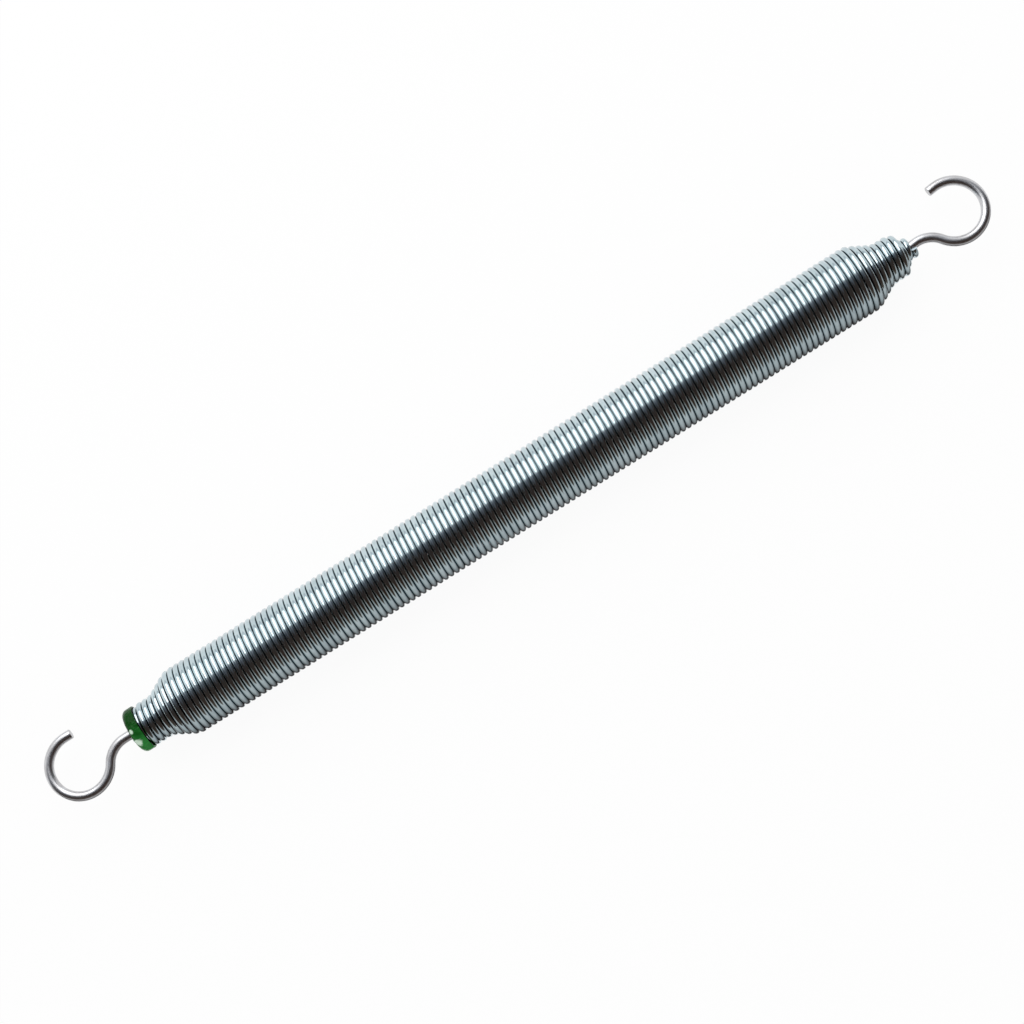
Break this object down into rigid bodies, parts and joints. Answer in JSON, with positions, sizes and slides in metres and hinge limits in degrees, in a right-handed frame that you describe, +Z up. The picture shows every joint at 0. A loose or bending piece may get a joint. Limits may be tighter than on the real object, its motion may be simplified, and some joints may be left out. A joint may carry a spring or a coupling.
{
  "type": "pilates reformer spring",
  "caption": "Close-wound steel extension spring with tapered ends, a swivelling open hook at each end and a green colour-coding cap at one end.",
  "frame": {"origin": "on the floor under the spring's axis, at the coil's mid length", "axes": "+X along the spring's axis towards the plain end, +Y the way both hooks open, +Z up from the floor that it lies on"},
  "size_m": [0.3852, 0.0282, 0.0254],
  "materials": {
    "plated_spring_wire": "bright zinc plate, glossy",
    "plated_hook_wire": "bright zinc plate, glossy, a little greyer than the coil",
    "green_plastic": "glossy dark green, moulded"
  },
  "bodies": {
    "coil": {"spring_coil": "plated_spring_wire"},
    "cap_end": {"colour_cap": "green_plastic"},
    "cap_hook": {"cap_end_hook": "plated_hook_wire"},
    "plain_hook": {"plain_end_hook": "plated_hook_wire"}
  },
  "joints": [
    {"name": "stretch", "type": "slide", "parent": "coil", "child": "cap_end", "axis": [-1, 0, 0], "range_m": [0, 0.6], "stiffness_N_per_m": 170, "deforming": ["spring_coil"]},
    {"name": "cap_end_swivel", "type": "hinge", "parent": "cap_end", "child": "cap_hook", "pos_m": [-0.15543, 0, 0.0127], "axis": [1, 0, 0], "continuous": true},
    {"name": "plain_end_swivel", "type": "hinge", "parent": "coil", "child": "plain_hook", "pos_m": [0.15353, 0, 0.0127], "axis": [1, 0, 0], "continuous": true}
  ]
}
